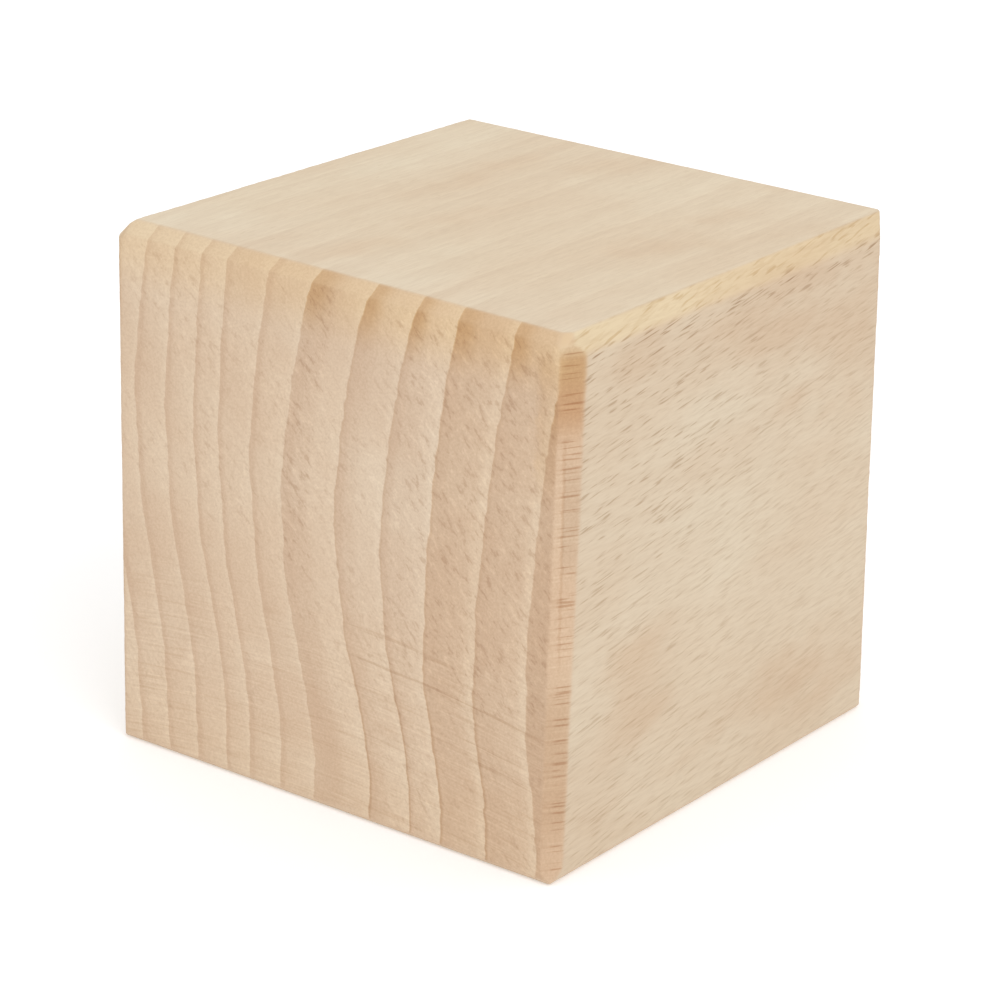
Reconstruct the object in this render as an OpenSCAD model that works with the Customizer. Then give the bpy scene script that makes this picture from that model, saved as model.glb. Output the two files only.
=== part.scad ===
// Wooden cube: one solid block of beech, sawn square, with a small flat bevel
// planed along each of its twelve edges, smallest on the four bottom ones.
//
// Frame: +Z is up and the origin is the middle of the bottom face. The grain
// runs along Y, so the end grain shows on the -Y and +Y faces, and the growth
// rings follow one another along X.

/* [Block] */
// Width, across the growth rings (X)
block_w = 50; // [20:1:120]
// Depth, along the grain (Y)
block_d = 50; // [20:1:120]
// Height (Z)
block_h = 50; // [20:1:120]

/* [Bevels] */
// Leg of the bevel on the four upright edges
upright_bevel = 1.6; // [0.3:0.1:5]
// Leg of the bevel on the two top edges that run with the grain
grain_bevel = 1.6; // [0.3:0.1:5]
// Leg of the bevel on the two top edges of the end-grain faces
end_bevel = 1.3; // [0.3:0.1:5]
// Leg of the bevel on the four bottom edges
foot_bevel = 0.5; // [0.2:0.1:5]

/* [Hidden] */

// A rectangle of w by h about the origin, its upper corners cut back by leg and
// its lower corners by low_leg.
module bevelled_rectangle(w, h, leg, low_leg) {
    x = w / 2;
    y = h / 2;
    polygon([
        [x, y - leg],
        [x - leg, y],
        [leg - x, y],
        [-x, y - leg],
        [-x, low_leg - y],
        [low_leg - x, -y],
        [x - low_leg, -y],
        [x, low_leg - y]
    ]);
}

// The block seen along Z, carrying the upright bevels.
module upright_prism() {
    linear_extrude(block_h, center = true)
        bevelled_rectangle(block_w, block_d, upright_bevel, upright_bevel);
}

// The block seen along Y, carrying the level bevels that run with the grain.
module grain_prism() {
    rotate([90, 0, 0])
        linear_extrude(block_d, center = true)
            bevelled_rectangle(block_w, block_h, grain_bevel, foot_bevel);
}

// The block seen along X, carrying the level bevels of the end-grain faces.
module end_prism() {
    rotate([90, 0, 90])
        linear_extrude(block_w, center = true)
            bevelled_rectangle(block_d, block_h, end_bevel, foot_bevel);
}

// What the three prisms share is the block with all twelve edges bevelled.
module wooden_cube() {
    color("#dcc3a1")
        translate([0, 0, block_h / 2])
            intersection() {
                upright_prism();
                grain_prism();
                end_prism();
            }
}

wooden_cube();
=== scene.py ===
import math

import bpy
import numpy as np
from mathutils import Matrix, Vector


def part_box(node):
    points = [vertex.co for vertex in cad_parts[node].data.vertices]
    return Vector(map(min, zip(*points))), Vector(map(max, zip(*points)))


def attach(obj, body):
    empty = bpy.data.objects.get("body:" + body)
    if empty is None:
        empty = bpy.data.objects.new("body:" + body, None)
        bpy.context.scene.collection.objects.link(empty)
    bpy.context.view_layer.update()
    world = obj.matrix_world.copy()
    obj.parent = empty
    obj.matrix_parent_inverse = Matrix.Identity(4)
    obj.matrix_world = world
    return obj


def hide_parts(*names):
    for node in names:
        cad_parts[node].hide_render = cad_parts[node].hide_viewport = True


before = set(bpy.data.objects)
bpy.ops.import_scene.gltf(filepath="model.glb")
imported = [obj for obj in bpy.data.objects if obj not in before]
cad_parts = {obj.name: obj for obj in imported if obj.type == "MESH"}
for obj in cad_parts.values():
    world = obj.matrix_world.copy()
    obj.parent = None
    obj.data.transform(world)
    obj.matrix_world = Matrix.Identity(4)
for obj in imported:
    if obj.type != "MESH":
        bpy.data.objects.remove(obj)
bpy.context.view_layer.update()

# Lengths in this script are in millimetres until a mesh, light or camera is made.
MM = 0.001
low, high = (Vector(c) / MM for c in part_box("wooden_cube"))
HALF = np.array((high - low) / 2)
MIDDLE = np.array((high + low) / 2)

# ------------------------------------------------------------------ the block
STEPS = 128  # lattice steps along a side: 6 faces of 128 x 128 quads
CLOSE, WIDE = 0.12, 0.52  # spacing of the lattice lines, at an edge and out on a face
CLOSE_TO, WIDE_FROM = 2.2, 5.5  # distances from an edge between which the spacing grows
CORE = 3.2  # the bevels are shaped within this distance of a sharp edge
HALVINGS = 18  # of the search for the surface between the core and the sharp cube
SHARPNESS = 26.0  # per mm; how crisply the bevels meet the faces
KIND_SHARPNESS = 18.0  # per mm; how crisply the wood's look changes from face to bevel

UPRIGHT, GRAIN, END, FOOT = 1.6, 1.6, 1.3, 0.5  # legs of the bevels, as in the CAD
# Each corner is cut back to where its depths below the three faces add up to this.
TOP_CORNER, FOOT_CORNER, WORN_CORNER, SHARP_CORNER = 2.4, 0.9, 2.6, 0.4
# The kinds of surface that have a colour of their own; the foot bevel is coloured as end grain.
COLOURED_KINDS = ("side", "end", "flat", "upright", "grain_top", "end_top", "corner")


def smoothstep(a, b, t):
    t = np.clip((t - a) / (b - a), 0, 1)
    return t * t * (3 - 2 * t)


def lattice_line(half):
    """Places of the lattice lines along one side: close together at its ends, wider between."""
    u = np.linspace(0, half, 4001)
    spacing = CLOSE + (WIDE - CLOSE) * smoothstep(CLOSE_TO, WIDE_FROM, u)
    density = 1 / spacing
    count = np.concatenate([[0], np.cumsum((density[1:] + density[:-1]) / 2 * np.diff(u))])
    inward = np.interp(np.linspace(0, count[-1], STEPS // 2 + 1), count, u)
    return np.concatenate([inward - half, (half - inward[:-1])[::-1]])


def lattice():
    """Keys of the lattice points on the cube's surface, and its outward quads."""
    keys, quads = [], []
    i, j = np.meshgrid(np.arange(STEPS + 1), np.arange(STEPS + 1), indexing="ij")
    start = 0
    for axis in range(3):
        for side in (0, 1):
            key = np.zeros((STEPS + 1, STEPS + 1, 3), int)
            key[..., axis] = side * STEPS
            key[..., (axis + 1) % 3] = i
            key[..., (axis + 2) % 3] = j
            n = np.arange((STEPS + 1) ** 2).reshape(STEPS + 1, STEPS + 1) + start
            q = np.stack([n[:-1, :-1], n[1:, :-1], n[1:, 1:], n[:-1, 1:]], -1).reshape(-1, 4)
            quads.append(q if side else q[:, ::-1])
            keys.append(key.reshape(-1, 3))
            start += (STEPS + 1) ** 2
    keys = np.concatenate(keys)
    quads = np.concatenate(quads)
    unique, inverse = np.unique(keys, axis=0, return_inverse=True)
    return unique, inverse.reshape(-1)[quads]


def waver(t, size, lengths, seed):
    """A wandering line: a sum of sines of those wavelengths, at most about size."""
    r = np.random.default_rng(seed)
    out = np.zeros_like(t)
    for length in lengths:
        out += np.sin(2 * np.pi * (t / length + r.random())) * (0.6 + 0.4 * r.random())
    return out * size / len(lengths)


# How far a bevel reaches along its first and its second face, each as (at the low end, at the
# high end) of the edge. Keys are (axis, side) of the two faces, where axis 0, 1, 2 is X, Y, Z.
# These five follow the photograph, and the other bevels have the CAD's legs.
SEEN = {
    (0, 1, 1, -1): ((1.20, 1.15), (1.60, 2.20)),
    (1, -1, 2, 1): ((1.50, 0.80), (1.05, 1.00)),
    (0, 1, 2, 1): ((0.95, 0.50), (1.80, 2.30)),
    (0, -1, 1, -1): ((0.90, 0.90), (0.90, 0.90)),
    (1, 1, 2, 1): ((1.30, 0.60), (1.30, 0.60)),
}

# Wavelengths of the two waverings of a bevel's legs along its edge.
LONG_WAVES, SHORT_WAVES = (31, 13, 7.3, 3.1), (1.7, 1.1, 0.8)

# The block is a little out of square: how far each corner lies from the true one.
OUT_OF_SQUARE = {
    (-1, -1, -1): (-0.25, -0.50, 0),
    (-1, -1, 1): (-0.22, -0.12, 0.18),
    (-1, 1, 1): (0.40, 0.15, -0.28),
    (1, -1, -1): (-0.24, -0.07, 0),
    (1, -1, 1): (0.37, 0.19, -0.11),
    (1, 1, -1): (0.12, 0.60, 0),
    (1, 1, 1): (-0.09, -0.17, -0.44),
}


def reach(a, sa, b, sb, along, height):
    """The two reaches of the bevel between face (a, sa) and face (b, sb), at places along it."""
    if 2 not in (a, b):
        leg = UPRIGHT
    elif sb < 0:
        leg = FOOT
    else:
        leg = GRAIN if a == 0 else END
    half = HALF[3 - a - b]
    t = (along + half) / (2 * half)
    ends = SEEN.get((a, sa, b, sb), ((leg, leg), (leg, leg)))
    seed = 100 + 36 * a + 12 * b + 3 * sa + sb
    out = []
    for k, (low_end, high_end) in enumerate(ends):
        r = low_end + (high_end - low_end) * t
        r = r * (1 + waver(along, 0.05, LONG_WAVES, seed + 500 * k))
        r = r * (1 + waver(along, 0.03, SHORT_WAVES, seed + 900 * k))
        out.append(r)
    if (a, sa, b, sb) == (0, 1, 1, -1):  # the front right bevel runs out in a point at the foot
        stop = 0.22 + 0.78 * smoothstep(-0.1, 1.5, height)
        out = [r * stop for r in out]
    return out


def planes(p):
    """Signed distance outside each face, bevel and corner cut, one column each."""
    depth = {(a, s): HALF[a] - s * p[:, a] for a in range(3) for s in (-1, 1)}
    height = p[:, 2] + HALF[2]
    columns, kinds = [], []
    for a in range(3):
        for s in (-1, 1):
            columns.append(-depth[a, s])
            kinds.append(("side", "end", "flat")[a])
    for a, b in ((0, 1), (0, 2), (1, 2)):
        for sa in (-1, 1):
            for sb in (-1, 1):
                ra, rb = reach(a, sa, b, sb, p[:, 3 - a - b], height)
                steepness = np.sqrt(1 / ra**2 + 1 / rb**2)
                columns.append((1 - depth[a, sa] / ra - depth[b, sb] / rb) / steepness)
                if b == 1:
                    kinds.append("upright")
                elif sb < 0:
                    kinds.append("foot")
                else:
                    kinds.append("grain_top" if a == 0 else "end_top")
    for sx in (-1, 1):
        for sy in (-1, 1):
            for sz in (-1, 1):
                cut = TOP_CORNER if sz > 0 else FOOT_CORNER
                if (sx, sy, sz) == (-1, -1, 1):
                    cut = WORN_CORNER
                if (sx, sy, sz) in ((1, -1, -1), (1, 1, 1)):
                    cut = SHARP_CORNER
                columns.append((cut - depth[0, sx] - depth[1, sy] - depth[2, sz]) / math.sqrt(3))
                kinds.append("corner")
    return np.stack(columns, 1), kinds


def outside(p):
    """Signed distance outside the block, rounded where the planes meet."""
    d, _ = planes(p)
    top = d.max(1)
    return top + np.log(np.exp(SHARPNESS * (d - top[:, None])).sum(1)) / SHARPNESS


def shaped(p):
    """Moves the lattice points in from the sharp cube to the bevelled one."""
    core = np.clip(p, CORE - HALF, HALF - CORE)
    near, far = np.zeros(len(p)), np.full(len(p), 1.0)
    for _ in range(HALVINGS):
        t = (near + far) / 2
        out = outside(core + (p - core) * t[:, None]) > 0
        far = np.where(out, t, far)
        near = np.where(out, near, t)
    return core + (p - core) * ((near + far) / 2)[:, None]


def settled(p):
    """Moves points from the true block to the one that is out of square."""
    out = p.copy()
    for corner, offset in OUT_OF_SQUARE.items():
        out += np.prod(1 + np.array(corner) * p / HALF, 1)[:, None] / 8 * np.array(offset)
    return out


# --------------------------------------------------------------- growth rings
# Each ring line on the front face leans furthest left at some height, LEFT_AT, where its X is
# RING_START. From there it moves right by TO_TOP up to the top and by TO_FOOT down to the bottom.
RING_START = [
    -36, -32.7, -29.4, -26.1, -22.6, -18.9, -15.6, -12.8, -9.1, -5.6, 0.4, 5.6, 10.5, 15.9, 21.5, 27.5, 34
]
TO_TOP = [1.6, 1.6, 1.6, 1.6, 1.6, 1.2, 1.0, 1.1, 2.0, 3.2, 3.2, 3.0, 2.6, 3.1, 2.5, 2.5, 2.5]
TO_FOOT = [3.9, 3.9, 3.9, 3.9, 3.9, 3.7, 4.0, 3.9, 3.8, 4.2, 4.5, 3.7, 2.3, 1.8, 1.7, 1.5, 1.5]
LEFT_AT = [34, 34, 34, 34, 34, 33, 32, 32, 31, 28, 28, 26, 20, 18, 18, 18, 18]


def ring_index(p):
    """Which ring each point is in, counted from the left, with the way across it as the fraction."""
    x, y, z = p[:, 0], p[:, 1], p[:, 2] + HALF[2]
    x = x + waver(z + 0.3 * x, 0.22, (23, 14.5, 9.7), 1) + waver(z + 0.8 * x, 0.13, (6.1, 4.3, 2.9, 1.9), 2)
    along_grain = waver(y + 25, 0.35, (61, 33), 3) * smoothstep(-25, -15, y)
    x = x + along_grain + waver(y + 2.5 * x, 0.10, (19, 11), 4)
    start = x.copy()  # where the line through each point starts, found by going back and forth
    for _ in range(40):
        turn = np.interp(start, RING_START, LEFT_AT)
        up = np.clip((z - turn) / (48 - turn), 0, 1.1) ** 1.7 * np.interp(start, RING_START, TO_TOP)
        down = smoothstep(0, 1, (turn - z) / (turn - 2)) * np.interp(start, RING_START, TO_FOOT)
        start = 0.5 * start + 0.5 * (x - up - down)
    return np.interp(start, RING_START, np.arange(len(RING_START)) - 1)


def unwrapped(p, quads, uv_gap=0.006):
    """A place on the texture for each corner of each quad: six squares in two rows of three."""
    face = np.repeat(np.arange(6), STEPS * STEPS)
    axis, side = face // 2, face % 2
    corner = p[quads]
    across, up = (axis + 1) % 3, (axis + 2) % 3
    rows = np.arange(len(quads))[:, None]
    u = corner[rows, np.arange(4)[None], across[:, None]] / HALF[across][:, None]
    v = corner[rows, np.arange(4)[None], up[:, None]] / HALF[up][:, None]
    cell_x, cell_y = axis[:, None], side[:, None]
    u = (cell_x + uv_gap + (u + 1) / 2 * (1 - 2 * uv_gap)) / 3
    v = (cell_y + uv_gap + (v + 1) / 2 * (1 - 2 * uv_gap)) / 3
    return np.stack([u, v], -1)


def clouds(p, size, seed):
    """Smooth random values about 0, for places scaled by size: sums of slanting sines."""
    r = np.random.default_rng(seed)
    out = np.zeros(len(p))
    for octave in range(3):
        for _ in range(7):
            direction = r.normal(size=3)
            direction /= np.linalg.norm(direction)
            cycles = 2**octave * ((p / size) @ direction) + r.random()
            out += np.sin(2 * np.pi * cycles) / 1.8**octave
    return out / 3.4


keys, quads = lattice()
lines = [lattice_line(h) for h in HALF]
sharp = np.stack([lines[a][keys[:, a]] for a in range(3)], 1)
points = shaped(sharp)
d, kinds = planes(points)
weight = np.exp(KIND_SHARPNESS * (d - d.max(1)[:, None]))
weight /= weight.sum(1)[:, None]
kind_weight = {k: weight[:, [i for i, n in enumerate(kinds) if n == k]].sum(1) for k in COLOURED_KINDS}

mesh = bpy.data.meshes.new("beech_block")
mesh.from_pydata((settled(points) + MIDDLE) * MM, [], quads.tolist())
mesh.polygons.foreach_set("use_smooth", np.ones(len(quads), bool))

# Pinker patches (above 0) and paler ones (below 0) on the side face: Y, Z, half lengths, strength.
SIDE_PATCHES = [
    (-14, 15, 6, 4, 1.0), (6, 43, 14, 3, 0.7), (19, 38, 6, 3, 0.9), (8, 35, 4, 4, 0.6), (15, 7, 10, 3.5, 0.7),
    (-15, 45, 6, 3, 0.5), (12, 47.5, 14, 1.8, 0.8), (-2, 44, 22, 3, 0.3), (-10, 38, 9, 5, -0.8),
    (2, 27, 11, 8, -0.8), (-21, 22, 4, 9, -0.3), (20, 22, 5, 8, -0.2),
]
# Darker bands (above 0) and paler ones (below 0) along the top face: X, half width, strength.
TOP_BANDS = [(-3.2, 2.6, 0.5), (-10, 2.5, 0.3), (5.5, 3.2, -0.5), (-19, 4, -0.8), (14, 3, 0.25), (21, 3, 0.3)]
x, y, z = points[:, 0], points[:, 1], points[:, 2] + HALF[2]
# What the material reads at each place: drift runs from pinker to yellower wood, patch from paler
# to pinker, and wander makes the rings darker or paler.
drift = smoothstep(-0.7, 0.7, clouds(points, np.array([19, 30, 13]), 21))
patch = clouds(points, np.array([12, 16, 6]), 33) * 0.30
for py, pz, ry, rz, strength in SIDE_PATCHES:
    away = ((y - py) / ry) ** 2 + ((z - pz + 0.12 * (y - py)) / rz) ** 2
    patch += strength * np.exp(-away) * kind_weight["side"] * (x > 0)
for px, rx, strength in TOP_BANDS:
    away = ((x - px - waver(y, 0.8, (47, 23), 12)) / rx) ** 2
    patch += strength * np.exp(-away) * kind_weight["flat"] * (z > 25)
patch = np.clip(patch, -1, 1)
wander = np.clip(clouds(points, np.array([14, 40, 17]), 9), -1, 1)
looks = {"ring": ring_index(points), "drift": drift, "patch": patch, "wander": wander, **kind_weight}
for name, values in sorted(looks.items()):
    attribute = mesh.attributes.new(name, "FLOAT", "POINT")
    attribute.data.foreach_set("value", values.astype(np.float32))
uv = mesh.uv_layers.new(name="OFBake")
uv.data.foreach_set("uv", unwrapped(sharp, quads).reshape(-1).astype(np.float32))
mesh.update()
block = bpy.data.objects.new("beech_block", mesh)
bpy.context.scene.collection.objects.link(block)


# ------------------------------------------------------------------- material
def srgb(r, g, b):
    """A colour as it looks on a screen, 0 to 255, in the linear values that shaders use."""
    parts = (c / 255 for c in (r, g, b))
    return tuple(c / 12.92 if c <= 0.04045 else ((c + 0.055) / 1.055) ** 2.4 for c in parts)


class Value:
    """A shader socket that takes part in sums."""

    def __init__(self, graph, socket):
        self.graph, self.socket = graph, socket

    def __add__(self, other):
        return self.graph.math("ADD", self, other)

    def __sub__(self, other):
        return self.graph.math("SUBTRACT", self, other)

    def __rsub__(self, other):
        return self.graph.math("SUBTRACT", other, self)

    def __mul__(self, other):
        return self.graph.math("MULTIPLY", self, other)

    def __truediv__(self, other):
        return self.graph.math("DIVIDE", self, other)

    __radd__, __rmul__ = __add__, __mul__


class Graph:
    """Short ways to write a node tree."""

    def __init__(self, tree):
        self.tree = tree

    def node(self, kind, inputs=(), **settings):
        n = self.tree.nodes.new(kind)
        for key, value in settings.items():
            setattr(n, key, value)
        for key, value in dict(inputs).items():
            self.put(n.inputs[key], value)
        return n

    def put(self, socket, value):
        if isinstance(value, Value):
            self.tree.links.new(value.socket, socket)
        elif isinstance(value, tuple) and len(value) == 3 and socket.type == "RGBA":
            socket.default_value = (*value, 1)
        else:
            socket.default_value = value

    def out(self, node, name=0):
        return Value(self, node.outputs[name])

    def math(self, operation, *values, clamp=False):
        n = self.node("ShaderNodeMath", enumerate(values), operation=operation, use_clamp=clamp)
        return self.out(n)

    def vector(self, operation, a, b, c=None):
        values = {0: a, 1: b} if c is None else {0: a, 1: b, 2: c}
        return self.out(self.node("ShaderNodeVectorMath", values, operation=operation))

    def attribute(self, name):
        return self.out(self.node("ShaderNodeAttribute", attribute_name=name), "Fac")

    def step(self, value, a, b, low=0.0, high=1.0):
        """low where value is a, high where it is b, with a soft change between."""
        n = self.node(
            "ShaderNodeMapRange",
            {"Value": value, "From Min": a, "From Max": b, "To Min": low, "To Max": high},
            interpolation_type="SMOOTHSTEP",
        )
        return self.out(n)

    def line(self, value, a, b, low=0.0, high=1.0):
        """As step, but in a straight line."""
        n = self.node(
            "ShaderNodeMapRange",
            {"Value": value, "From Min": a, "From Max": b, "To Min": low, "To Max": high},
            clamp=True,
        )
        return self.out(n)

    def noise(self, place, per_mm, seed, detail, roughness):
        """Noise about 0.5, with that many cycles per mm along X, Y and Z."""
        moved = self.vector("MULTIPLY_ADD", place, per_mm, (seed, seed * 1.7, seed * 2.3))
        n = self.node(
            "ShaderNodeTexNoise",
            {"Vector": moved, "Scale": 1.0, "Detail": detail, "Roughness": roughness},
        )
        return self.out(n, "Fac")

    def mix(self, amount, a, b, blend="MIX"):
        n = self.node("ShaderNodeMix", data_type="RGBA", blend_type=blend)
        for i, value in ((0, amount), (6, a), (7, b)):
            self.put(n.inputs[i], value)
        return self.out(n, 2)

    def tint(self, colour, amount, by):
        """colour times by, as much of it as amount says."""
        return self.mix(amount, colour, by, "MULTIPLY")

    def per_ring(self, number, values, usual):
        """A value for each ring by its number, as usual where values has none."""
        slot = 1 / 32  # the width of the ramp that each ring has
        n = self.node("ShaderNodeValToRGB", {0: number * slot + slot / 2})
        ramp = n.color_ramp
        ramp.interpolation = "CONSTANT"
        stops = [(0.0, usual)] + [(r * slot, values.get(r, usual)) for r in range(1, 16)]
        while len(ramp.elements) < len(stops):
            ramp.elements.new(1.0)
        for element, (place, value) in zip(ramp.elements, stops):
            element.position = place
            element.color = (value, value, value, 1)
        return self.out(self.node("ShaderNodeSeparateColor", {0: self.out(n)}), 0)


# The colour of each kind of surface.
FACE = {
    "end": srgb(208.5, 184.5, 158.5),
    "side": srgb(209.5, 192.3, 168),
    "flat": srgb(220.5, 202, 175),
    "upright": srgb(205, 177, 148),
    "grain_top": srgb(218, 198, 164),
    "end_top": srgb(218, 194, 161),
    "corner": srgb(210, 182, 146),
}
# What multiplies the colour, in linear red, green and blue, at each of the wood's marks.
TINT = {
    "ring, dark": (0.925, 0.880, 0.855),
    "ring, pale": (1.070, 1.100, 1.118),
    "right-hand rings": (0.990, 0.975, 0.955),
    "middle rings": (1.012, 1.030, 1.052),
    "last ring": (0.965, 0.945, 0.925),
    "last ring, low down": (0.970, 0.955, 0.945),
    "last ring, near its top": (0.90, 0.815, 0.70),
    "drift, pinker": (0.975, 0.950, 0.935),
    "drift, yellower": (1.012, 1.028, 1.042),
    "patch, pinker": (0.945, 0.890, 0.850),
    "patch, paler": (1.020, 1.045, 1.060),
    "streak, dark": (0.965, 0.952, 0.938),
    "streak, pale": (1.020, 1.026, 1.032),
    "top, near its front": (1.010, 1.016, 1.030),
    "fibre": (0.960, 0.950, 0.940),
    "pore": (0.950, 0.935, 0.920),
    "between pores": (1.030, 1.035, 1.04),
    "fleck": (0.76, 0.695, 0.63),
    "fleck, faint": (0.955, 0.942, 0.930),
    "fleck, by the top edge": (0.79, 0.725, 0.66),
    "fleck, on the bevel": (0.89, 0.835, 0.76),
    "bevel, far end": (0.955, 0.925, 0.900),
    "fleck, faint on the bevel": (0.955, 0.935, 0.905),
    "ray": (0.955, 0.935, 0.915),
    "ray, faint": (0.974, 0.964, 0.954),
    "ray, pale": (1.048, 1.060, 1.068),
    "ray line": (0.87, 0.825, 0.785),
    "top, pore": (0.93, 0.91, 0.88),
    # Painted shade in the hollows of the torn fibres, and a painted highlight on their tips.
    "torn, painted shade in its hollows": (0.845, 0.795, 0.760),
    "torn, painted highlight on its tips": (1.095, 1.115, 1.125),
    "beside the bevel": (0.940, 0.895, 0.830),
    "under the top bevel": (1.040, 1.020, 0.935),
    "smudge": (0.89, 0.805, 0.68),
    "under the top bevel, right": (0.985, 0.955, 0.90),
    "under the top bevel, middle": (0.955, 0.92, 0.89),
    "top bevel, past its left end": (0.955, 0.900, 0.850),
    "foot of the front": (1.02, 1.03, 1.025),
    "brown line": (0.87, 0.80, 0.73),
    "dash": (0.78, 0.67, 0.59),
    "between dashes": (1.06, 1.085, 1.10),
    "bevel, orange": (0.845, 0.715, 0.575),
    "bevel, its very top": (0.985, 1.01, 0.93),
    "bevel, low down": (0.89, 0.85, 0.81),
    "bevel, right half": (0.90, 0.89, 0.88),
    "bevel, pale stretch": (1.02, 1.035, 1.05),
    "bevel, brown line": (0.92, 0.87, 0.83),
}
# The share of a ring over which the last of the ring before it fades out.
RING_LINE = 0.035
# Rings whose first part is darker than usual, by number: how much, and up to what share of them.
DARK_PART = {8: 0.9, 9: 0.5, 10: 0.2, 11: 1.0, 12: 1.0, 13: 1.4, 14: 1.4}
DARK_UNTIL = {8: 0.50, 9: 0.42, 11: 0.80, 12: 0.84}
# Thin dark lines along the rays, low on the front face: height, from X, to X, strength.
RAY_LINES = [
    (15.9, 3, 23, 1.0), (18.7, 2, 14, 0.7), (8.8, 4, 8, 0.6), (10.9, 15.5, 22, 0.9), (12.4, 15, 22, 0.7)
]
# The lean of the torn fibres on the end grain, about 44 degrees.
LEAN_COS, LEAN_SIN = 0.72, 0.69
BUMP_STRENGTH, BUMP_HEIGHT = 0.5, 0.04


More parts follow.
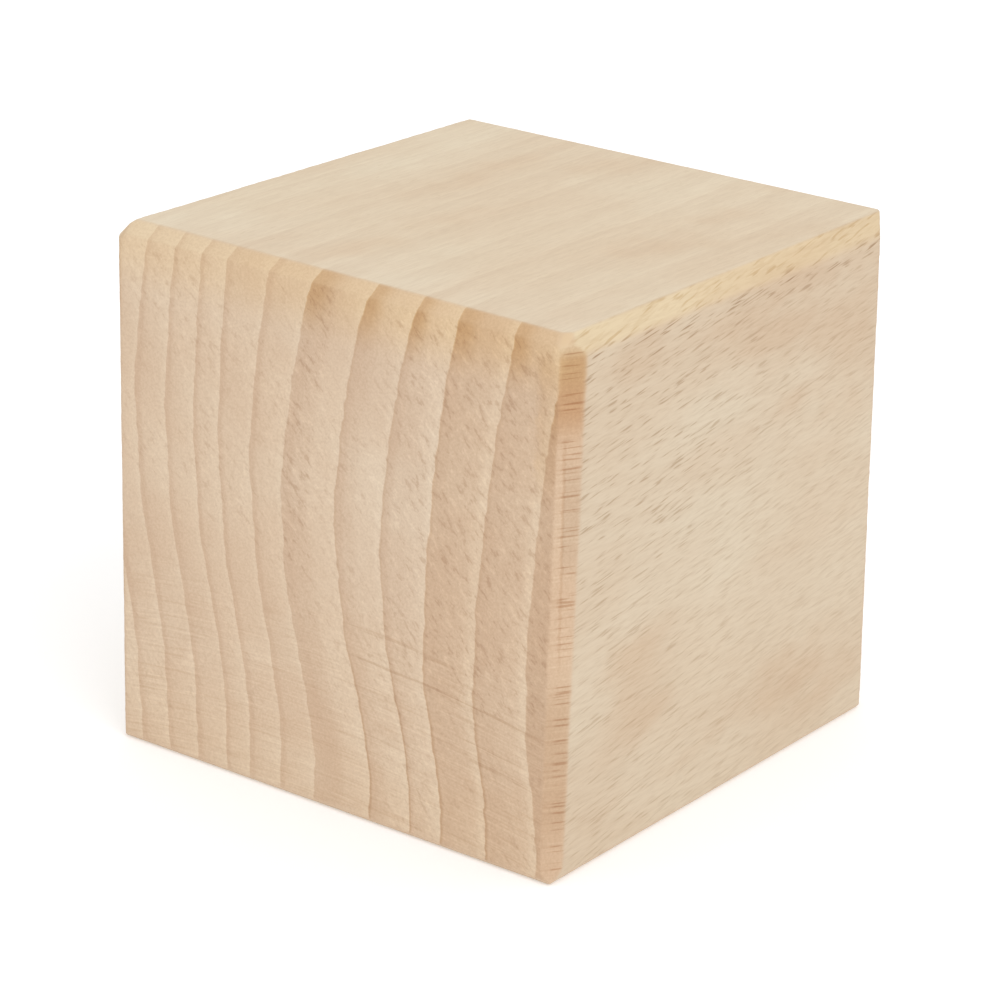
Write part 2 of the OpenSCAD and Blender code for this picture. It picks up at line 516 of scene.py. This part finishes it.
def beech():
    material = bpy.data.materials.new("beech")
    material.use_nodes = True
    tree = material.node_tree
    tree.nodes.clear()
    g = Graph(tree)
    coordinates = g.node("ShaderNodeTexCoord")
    place = g.vector("SCALE", g.out(coordinates, "Object"), (0, 0, 0))
    place.socket.node.inputs["Scale"].default_value = 1 / MM
    split = g.node("ShaderNodeSeparateXYZ", {0: place})
    x, y, z = (g.out(split, i) for i in range(3))

    end, side, flat = (g.attribute(n) for n in ("end", "side", "flat"))
    upright, grain_top, end_top = (g.attribute(n) for n in ("upright", "grain_top", "end_top"))
    corner = g.attribute("corner")
    drift, patch, wander = (g.attribute(n) for n in ("drift", "patch", "wander"))

    # The growth rings: dark where one starts, then slowly paler to where it ends. across runs
    # from 0 to 1 over one ring, and shade from 0 at the darkest to 1 at the palest.
    ragged = (g.noise(place, (0.9, 0.05, 0.9), seed=3, detail=2, roughness=0.6) - 0.5) * 0.075
    ring = g.attribute("ring") + ragged
    number = g.math("FLOOR", ring)
    across = g.math("FRACT", ring)
    dark_part = g.per_ring(number, DARK_PART, 0.0)
    dark_until = g.per_ring(number, DARK_UNTIL, 0.6)
    ramp = g.line(across, 0.1, 0.92, 0.36, 0.85) + g.step(across, 0.84, 0.97, 0.0, 0.20)
    ramp = ramp - g.step(across, 0.26, 0.08, 0.0, 0.42)
    ramp = ramp - dark_part * g.step(across, dark_until + 0.14, dark_until - 0.10, 0.0, 0.36)
    shade = g.step(across, 0.0, RING_LINE, 0.96, 0.0) + ramp * g.step(across, 0.0, RING_LINE) + wander * 0.16
    shade = g.math("ADD", shade, 0.0, clamp=True)
    rings = g.mix(shade, TINT["ring, dark"], TINT["ring, pale"])

    # Each face's own colour.
    base = g.mix(side, FACE["end"], FACE["side"])
    base = g.mix(flat, base, FACE["flat"])
    base = g.mix(upright, base, FACE["upright"])
    base = g.mix(grain_top, base, FACE["grain_top"])
    base = g.mix(end_top, base, FACE["end_top"])
    base = g.mix(corner, base, FACE["corner"])
    # How strongly the rings show on each.
    amount = end + side * 0.3 + flat * 0.22 + upright * 0.3 + grain_top * 0.2 + end_top * 0.75 + corner * 0.4
    colour = g.mix(amount, base, g.mix(1.0, base, rings, "MULTIPLY"))
    right_rings = g.step(number, 10.4, 11.0) * (end + end_top * 0.8)
    colour = g.tint(colour, right_rings, TINT["right-hand rings"])
    middle_rings = g.step(number, 7.5, 8.5) * g.step(number, 11, 10.4)
    middle_rings = middle_rings * g.step(z, 14, 24) * g.step(z, 47, 42)
    colour = g.tint(colour, middle_rings * end, TINT["middle rings"])
    last_ring = g.step(number, 12.5, 13) * (end + end_top * 0.5)
    colour = g.tint(colour, last_ring, TINT["last ring"])
    colour = g.tint(colour, last_ring * g.step(z, 22, 15), TINT["last ring, low down"])
    orange = g.step(z, 49.0, 47.5) * g.step(z, 39.5, 43.5)
    colour = g.tint(colour, last_ring * orange, TINT["last ring, near its top"])

    # Broad drifts between pinker and yellower wood.
    colour = g.tint(colour, 0.5, g.mix(drift, TINT["drift, pinker"], TINT["drift, yellower"]))
    colour = g.tint(colour, g.step(patch, 0.0, 1.0) * (side + flat), TINT["patch, pinker"])
    colour = g.tint(colour, g.step(patch, 0.0, -1.0) * (side + flat), TINT["patch, paler"])

    # Fibres: long streaks along Y, fine dots where they are cut across.
    streaks = g.noise(place, (2.2, 0.14, 2.2), seed=41, detail=2, roughness=0.6)
    fine = g.noise(place, (5.0, 0.6, 5.0), seed=47, detail=1, roughness=0.6)
    dots = g.noise(place, (4.4, 4.4, 4.4), seed=53, detail=1, roughness=0.65)
    along = side + flat + grain_top
    colour = g.tint(colour, along * g.step(streaks, 0.60, 0.35), TINT["streak, dark"])
    colour = g.tint(colour, flat * g.step(streaks, 0.56, 0.72), TINT["streak, pale"])
    colour = g.tint(colour, flat * g.step(y, -12, -23), TINT["top, near its front"])
    colour = g.tint(colour, along * g.step(fine, 0.58, 0.30), TINT["fibre"])
    across_grain = end + end_top + upright
    colour = g.tint(colour, across_grain * g.step(dots, 0.58, 0.30), TINT["pore"])
    colour = g.tint(colour, across_grain * g.step(dots, 0.52, 0.70), TINT["between pores"])

    # The rays: thin sheets that lie across the rings and along the fibres. They show as short
    # leaning flecks on the side face, as fine lines on the end grain. level is the same all over
    # one sheet, which curves with X and climbs a little to the back.
    level = z + (x + 3) * (x + 3) * 0.0035 - (y + 25) * 0.15
    sheet = g.out(g.node("ShaderNodeCombineXYZ", {0: x, 1: y, 2: level}))
    large = g.noise(sheet, (0.15, 0.36, 3.7), seed=5, detail=1, roughness=0.55)
    small = g.noise(sheet, (0.22, 0.48, 5.6), seed=19, detail=0, roughness=0.5)
    strong = g.math("MAXIMUM", g.step(large, 0.64, 0.74), g.step(small, 0.70, 0.82, 0.0, 0.9))
    faint = g.math("MAXIMUM", g.step(large, 0.56, 0.63), g.step(small, 0.60, 0.68))
    by_edge = g.step(z, 44.5, 47.0) * g.step(z, 49.0, 48.4)
    near_front = g.step(y, 14, -16, 0.45, 1.0) * g.step(z, 18, 38, 0.55, 1.0)
    where = g.math("MAXIMUM", near_front, by_edge)
    colour = g.tint(colour, strong * side * where, TINT["fleck"])
    colour = g.tint(colour, faint * side, TINT["fleck, faint"])
    colour = g.tint(colour, g.step(large, 0.58, 0.67) * side * by_edge, TINT["fleck, by the top edge"])
    colour = g.tint(colour, g.step(large, 0.60, 0.70) * grain_top, TINT["fleck, on the bevel"])
    colour = g.tint(colour, grain_top * g.step(y, -6, 10), TINT["bevel, far end"])
    colour = g.tint(colour, faint * grain_top, TINT["fleck, faint on the bevel"])
    low_down = g.step(z, 24, 12, 0.10, 1.0)
    colour = g.tint(colour, strong * end * low_down, TINT["ray"])
    colour = g.tint(colour, faint * end * low_down, TINT["ray, faint"])
    colour = g.tint(colour, g.step(small, 0.40, 0.30) * end * low_down, TINT["ray, pale"])
    for height, x0, x1, strength in RAY_LINES:
        wavy = level + (small - 0.5) * 0.5
        drawn = g.step(g.math("ABSOLUTE", wavy - height), 0.20, 0.04) * g.step(x, x0 - 1, x0 + 1)
        colour = g.tint(colour, drawn * g.step(x, x1 + 1, x1 - 1) * end * strength, TINT["ray line"])
    colour = g.tint(colour, g.step(fine, 0.66, 0.74) * flat, TINT["top, pore"])

    # The torn fibres of the sawn end grain, in the right half and in one dark ring: short strokes
    # that run down to the right. Besides their bump, their hollows get a painted shade and their
    # tips a painted highlight.
    across_lean, along_lean = x * LEAN_COS + z * LEAN_SIN, z * LEAN_COS - x * LEAN_SIN
    slant = g.out(g.node("ShaderNodeCombineXYZ", {0: across_lean, 1: y, 2: along_lean}))
    torn = g.noise(slant, (1.9, 0.5, 0.75), seed=61, detail=3, roughness=0.66)
    on_right = g.step(x, 3, 13, 0.15, 1.0) * g.step(z, 11, 22, 0.3, 1.0)
    dark_ring = g.math("COMPARE", number, 8.0, 0.1) * g.step(across, 0.62, 0.46) * g.step(z, 17, 26)
    rough_end = g.math("MAXIMUM", on_right, dark_ring * 0.9)
    rough_end = g.math("ADD", rough_end, g.step(wander, -0.1, 0.5, 0.15, 0.45), clamp=True)
    colour = g.tint(colour, end * rough_end * g.step(torn, 0.47, 0.32), TINT["torn, painted shade in its hollows"])
    colour = g.tint(colour, end * rough_end * g.step(torn, 0.54, 0.68), TINT["torn, painted highlight on its tips"])

    # Browner wood beside the upright bevel at the front right, near its top.
    beside = g.step(x + (torn - 0.5) * 2.0, 21.6, 22.6) * g.step(z, 34, 39) * g.step(z, 48.5, 46.5)
    colour = g.tint(colour, beside * end, TINT["beside the bevel"])

    # Yellower wood just under the top bevel, and brown smudges where rings start there.
    top_strip = g.step(z, 43.5, 48.5)
    colour = g.tint(colour, top_strip * end, TINT["under the top bevel"])
    smudge = top_strip * g.step(number, 7.5, 8) * g.step(across, 0.50, 0.12) * (end + end_top * 0.7)
    colour = g.tint(colour, smudge, TINT["smudge"])
    colour = g.tint(colour, top_strip * g.step(x, -4, 8) * end, TINT["under the top bevel, right"])
    middle = top_strip * g.step(x, -14, -8) * g.step(x, 6, 0)
    colour = g.tint(colour, middle * end, TINT["under the top bevel, middle"])
    colour = g.tint(colour, end_top * g.step(x, -16, -8), TINT["top bevel, past its left end"])
    colour = g.tint(colour, end * g.step(z, 11, 3), TINT["foot of the front"])

    # Thin brown lines where the middle rings start, strongest in the lower third.
    brown = g.step(across, 0.10, 0.03) * g.step(across, 0.0, 0.03)
    brown = brown * g.step(number, 8.4, 9, 0, 1) * g.step(number, 12, 12.5, 1, 0)
    brown = brown * g.step(z, 20, 9, 0.35, 1.0)
    colour = g.tint(colour, brown * end, TINT["brown line"])

    # The upright bevels: rays cut aslant make short red-brown dashes, and the bevel at the front
    # right is orange near the top, then pale with a brown line, then tan.
    dash_place = g.out(g.node("ShaderNodeCombineXYZ", {0: x - y, 1: z * 3.9}))
    dash = g.noise(dash_place, (0.40, 1.0, 1.0), seed=71, detail=1, roughness=0.5)
    split_at = x + y  # 0 along the middle of the bevel at the front right
    right_part = g.step(split_at, -0.5, 0.35, 0.25, 1.0)
    colour = g.tint(colour, g.step(dash, 0.575, 0.68) * upright * right_part, TINT["dash"])
    colour = g.tint(colour, g.step(dash, 0.42, 0.30) * upright, TINT["between dashes"])
    colour = g.tint(colour, upright * orange, TINT["bevel, orange"])
    colour = g.tint(colour, upright * g.step(z, 43.5, 47.0), TINT["bevel, its very top"])
    colour = g.tint(colour, upright * g.step(z, 20, 15) * g.step(z, 2, 7), TINT["bevel, low down"])
    right_half = upright * g.step(split_at, 0.1, 0.4) * g.step(z, 27, 31) * g.step(z, 40, 37)
    colour = g.tint(colour, right_half, TINT["bevel, right half"])
    pale_part = upright * g.step(z, 42, 39) * g.step(z, 18, 24)
    colour = g.tint(colour, pale_part, TINT["bevel, pale stretch"])
    edge_line = g.step(g.math("ABSOLUTE", split_at + (torn - 0.5) * 0.8 - 0.25), 0.28, 0.08)
    colour = g.tint(colour, edge_line * pale_part, TINT["bevel, brown line"])

    shader = g.node("ShaderNodeBsdfPrincipled", {"Base Color": colour, "Specular IOR Level": 0.30})
    rough = streaks * 0.25 + 0.50 + end * 0.08
    g.put(shader.inputs["Roughness"], rough)
    relief = streaks * (along * 0.5) + torn * (end * rough_end) * 5.0
    bump = g.node(
        "ShaderNodeBump", {"Strength": BUMP_STRENGTH, "Distance": BUMP_HEIGHT * MM, "Height": relief}
    )
    g.put(shader.inputs["Normal"], g.out(bump))
    surface = g.node("ShaderNodeOutputMaterial")
    tree.links.new(shader.outputs[0], surface.inputs["Surface"])
    return material


mesh.materials.append(beech())
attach(block, "root")
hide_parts("wooden_cube")

# ---------------------------------------------------------------------- stage
FLOOR_RADIUS, FLOOR_SIDES = 2.2, 96  # the radius is in metres
FLOOR_GREY, FLOOR_GLOW = 0.86, 0.25
WORLD_STRENGTH = 0.92
MIDDLE_OF_BLOCK = Vector((0, 0, 0.025))

floor_mesh = bpy.data.meshes.new("floor")
turns = np.linspace(0, 2 * np.pi, FLOOR_SIDES + 1)[:-1]
rim = [(FLOOR_RADIUS * math.cos(t), FLOOR_RADIUS * math.sin(t), 0) for t in turns]
floor_mesh.from_pydata(rim, [], [list(range(FLOOR_SIDES))])
floor = bpy.data.objects.new("floor", floor_mesh)
bpy.context.scene.collection.objects.link(floor)
paint = bpy.data.materials.new("floor_paint")
paint.use_nodes = True
paint_inputs = paint.node_tree.nodes["Principled BSDF"].inputs
paint_inputs["Base Color"].default_value = (FLOOR_GREY, FLOOR_GREY, FLOOR_GREY, 1)
paint_inputs["Roughness"].default_value = 0.9
paint_inputs["Specular IOR Level"].default_value = 0.0
paint_inputs["Emission Color"].default_value = (1, 1, 1, 1)
paint_inputs["Emission Strength"].default_value = FLOOR_GLOW
floor_mesh.materials.append(paint)

scene = bpy.context.scene
world = bpy.data.worlds.new("studio")
world.use_nodes = True
world.node_tree.nodes["Background"].inputs["Color"].default_value = (1, 1, 1, 1)
world.node_tree.nodes["Background"].inputs["Strength"].default_value = WORLD_STRENGTH
scene.world = world


def soft_box(name, place, size, power):
    """A square light, size metres across, that faces the block."""
    light = bpy.data.lights.new(name, "AREA")
    light.shape = "SQUARE"
    light.size = size
    light.energy = power
    lamp = bpy.data.objects.new(name, light)
    scene.collection.objects.link(lamp)
    lamp.location = place
    lamp.rotation_euler = (MIDDLE_OF_BLOCK - Vector(place)).to_track_quat("-Z", "Y").to_euler()


soft_box("soft_box_right", place=(0.75, -0.35, 0.75), size=0.6, power=2.6)

# --------------------------------------------------------------------- camera
AZIMUTH, ELEVATION, ROLL = (math.radians(a) for a in (37.04, 21.04, 1.11))
# How far the camera stands from the block's middle, and how far it is moved across and up its
# own view to frame the block as the photograph does.
DISTANCE, ASIDE, ABOVE = 341.4, -0.30, -2.58
LENS, SENSOR = 132.85, 36.0
back = Vector((
    math.sin(AZIMUTH) * math.cos(ELEVATION),
    -math.cos(AZIMUTH) * math.cos(ELEVATION),
    math.sin(ELEVATION),
))
across = Vector((0, 0, 1)).cross(back).normalized()
up = back.cross(across)
right = across * math.cos(ROLL) + up * math.sin(ROLL)
above = up * math.cos(ROLL) - across * math.sin(ROLL)
where = MIDDLE_OF_BLOCK / MM + back * DISTANCE + across * ASIDE + up * ABOVE
camera_data = bpy.data.cameras.new("camera")
camera_data.lens = LENS
camera_data.sensor_width = SENSOR
camera = bpy.data.objects.new("camera", camera_data)
scene.collection.objects.link(camera)
turned = Matrix((right, above, back)).transposed().to_4x4()
camera.matrix_world = Matrix.Translation(where * MM) @ turned
scene.camera = camera

scene.view_settings.view_transform = "Standard"
scene.view_settings.look = "None"
